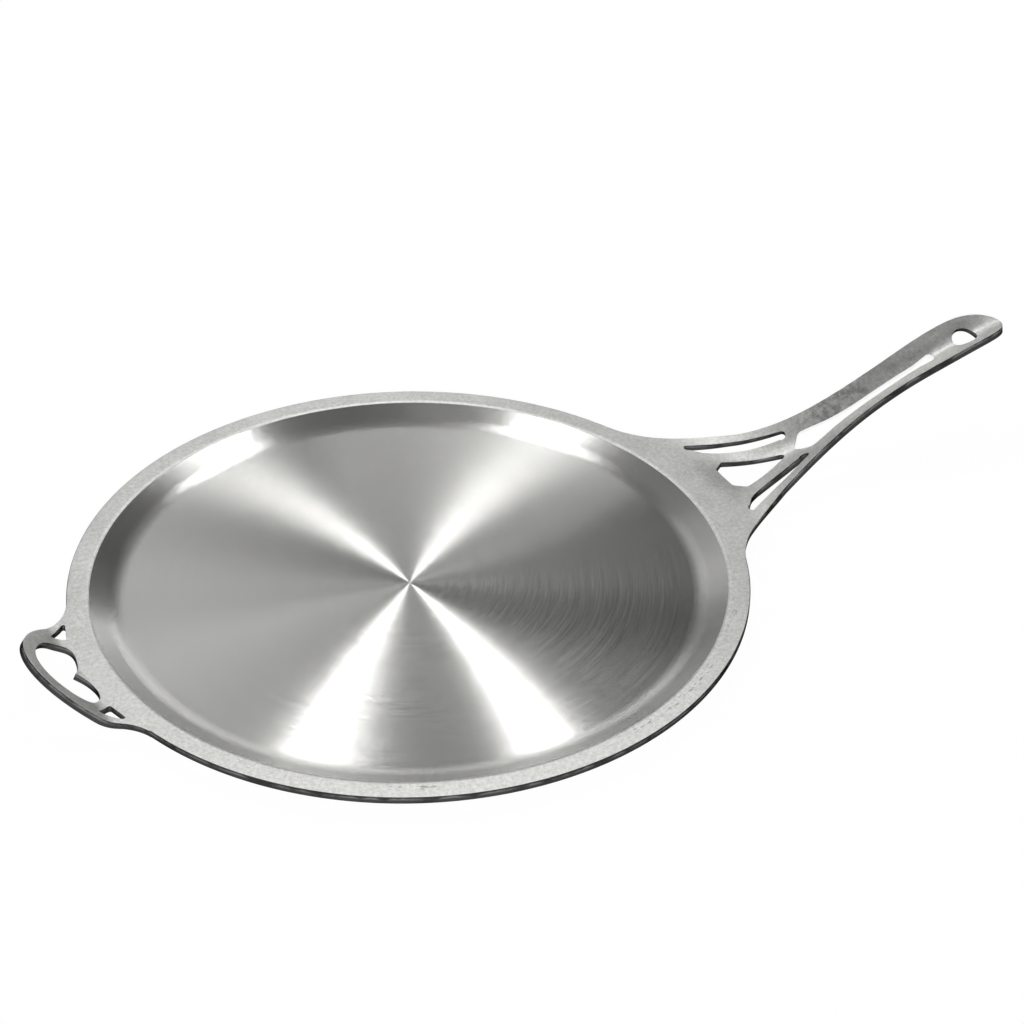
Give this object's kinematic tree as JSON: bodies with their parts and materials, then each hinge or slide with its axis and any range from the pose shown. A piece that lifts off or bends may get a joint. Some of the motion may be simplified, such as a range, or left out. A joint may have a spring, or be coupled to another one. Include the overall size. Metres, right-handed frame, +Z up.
{
  "type": "griddle pan",
  "caption": "Seamless round shallow steel griddle pan with a flat floor, coved wall, flat rim, raised skeleton long handle and upturned helper loop.",
  "frame": {"origin": "centre of the dish, on the flat underside that the pan stands on", "axes": "+X out along the long handle, +Z up out of the dish, so the helper loop is on -X"},
  "size_m": [0.4951, 0.3, 0.0515],
  "materials": {
    "turned_steel": "bare steel, fine concentric turning marks",
    "blasted_steel": "bare steel, fine bead-blasted grain"
  },
  "bodies": {
    "root": {"cooking_floor": "turned_steel", "coved_wall": "turned_steel", "rim_flange": "blasted_steel", "long_handle": "blasted_steel", "helper_handle": "blasted_steel"}
  },
  "joints": []
}
